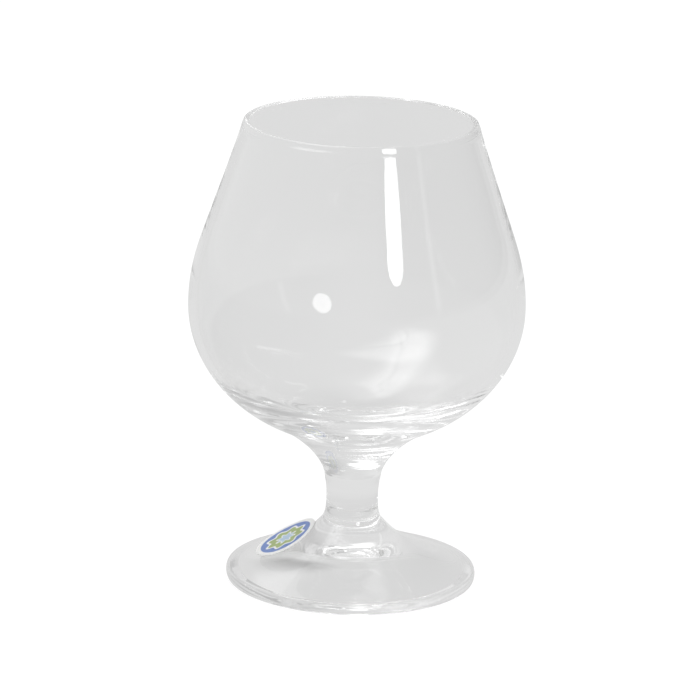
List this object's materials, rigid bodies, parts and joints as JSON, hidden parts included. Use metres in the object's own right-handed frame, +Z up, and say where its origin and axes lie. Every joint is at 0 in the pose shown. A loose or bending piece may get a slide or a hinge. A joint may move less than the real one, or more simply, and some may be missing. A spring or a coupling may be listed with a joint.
{
  "type": "brandy snifter",
  "caption": "Stemmed balloon glass for brandy: wide clear bowl narrowing to a rounded rim, short solid stem, conical foot and an oval paper label on the foot.",
  "frame": {"origin": "middle of the foot's resting ring, on the table plane", "axes": "+Z up along the axis of the glass; -Y is the side that faces the camera in the picture, +X to its right"},
  "size_m": [0.084, 0.084, 0.1178],
  "materials": {
    "clear_glass": "fire-polished clear glass",
    "label_paper": "coated paper label with a plain printed pattern"
  },
  "bodies": {
    "root": {"bowl": "clear_glass", "stem": "clear_glass", "foot": "clear_glass", "label": "label_paper"}
  },
  "joints": []
}
